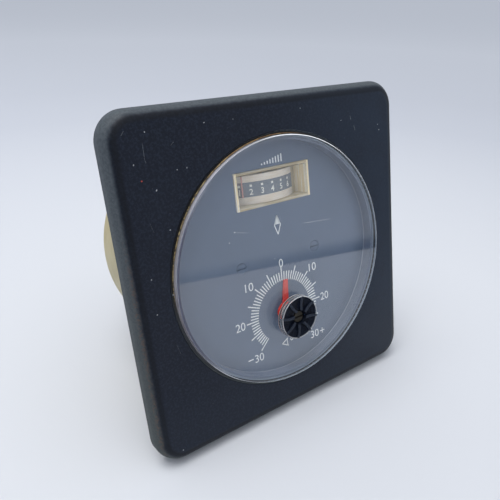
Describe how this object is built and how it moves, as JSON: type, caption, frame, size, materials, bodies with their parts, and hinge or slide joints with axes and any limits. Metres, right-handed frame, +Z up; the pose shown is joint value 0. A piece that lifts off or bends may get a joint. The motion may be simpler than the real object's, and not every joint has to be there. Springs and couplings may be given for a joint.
{
  "type": "declination setting instrument",
  "caption": "Square panel instrument: round lens over a grey dial, small edgewise meter in a window, and a clear knob that turns a red pointer over a declination scale; round case behind.",
  "frame": {"origin": "on the axis of the round case, in the rear face of the square frame, which meets the panel", "axes": "+Y along the instrument's axis into the panel, +X to the right seen from the front, +Z up"},
  "size_m": [0.11, 0.0883, 0.11],
  "materials": {
    "frame_plastic": "moulded, worn matt black",
    "gasket_rubber": "matt",
    "lens_clear": "polished clear plastic",
    "seal_compound": "aged sealing compound",
    "bush_white": "smooth",
    "ring_grey": "satin",
    "case_cream": "aged cream, satin",
    "dial_paint": "matt blue-grey paint",
    "print_white": "matt print",
    "carrier_plastic": "moulded",
    "knob_clear": "polished clear plastic",
    "knob_black": "moulded, handled",
    "pointer_red": "moulded",
    "steel": "plated",
    "brass": "machined",
    "phenolic": "moulded",
    "track_carbon": "carbon film",
    "window_clear": "yellowed clear plastic",
    "scale_cream": "aged cream paint",
    "scale_grey": "matt print",
    "needle_red": "red paint",
    "coil_copper": "enamelled wire",
    "former_aluminium": "bare",
    "core_iron": "smooth",
    "board_green": "lacquered laminate",
    "wire_red": "insulated wire",
    "block_black": "moulded",
    "lamp_glass": "clear bulb"
  },
  "bodies": {
    "housing": {"front_frame": "frame_plastic", "panel_gasket": "gasket_rubber", "lens": "lens_clear", "lens_seal": "seal_compound", "lens_bush": "bush_white", "inner_ring": "ring_grey", "case_can": "case_cream", "dial_plate": "dial_paint", "dial_marks": "print_white", "dial_screws": "dial_paint", "carrier": "carrier_plastic", "pot_base": "phenolic", "pot_cover": "steel", "pot_bush": "brass", "pot_washer": "steel", "pot_nut": "steel", "pot_track": "track_carbon", "pot_terminals": "steel", "meter_window": "window_clear", "meter_case": "case_cream", "meter_scale": "scale_cream", "scale_strip": "scale_grey", "core_magnet": "core_iron", "yoke_ring": "core_iron", "core_bars": "brass", "movement_frame": "brass", "jewel_screws": "brass", "needle_stops": "brass", "hairspring_upper": "steel", "hairspring_lower": "steel", "meter_screws": "steel", "meter_terminals": "brass", "circuit_board": "board_green", "board_pillars": "brass", "pillar_nuts": "brass", "board_screws": "steel", "wires": "wire_red", "terminal_block": "block_black", "terminal_tabs": "steel", "block_screws": "steel", "rear_studs": "steel", "stud_nuts": "brass", "lamp_holder": "block_black", "lamp_terminals": "steel", "lamp_bulb": "lamp_glass"},
    "setting": {"knob_body": "knob_clear", "knob_insert": "knob_black", "knob_screw": "steel", "pointer": "pointer_red", "spindle": "steel", "pot_wiper": "brass"},
    "movement": {"meter_needle": "needle_red", "meter_staff": "steel", "coil_former": "former_aluminium", "coil_winding": "coil_copper"}
  },
  "joints": [
    {"name": "declination_turn", "type": "hinge", "parent": "housing", "child": "setting", "pos_m": [0, 0, -0.019], "axis": [0, 1, 0], "range_deg": [-141, 129]},
    {"name": "needle_swing", "type": "hinge", "parent": "housing", "child": "movement", "pos_m": [0, 0.01755, 0], "axis": [0, 0, 1], "range_deg": [-6, 58], "stiffness_Nm_per_rad": 0.00001, "deforming": ["hairspring_upper", "hairspring_lower"]}
  ]
}
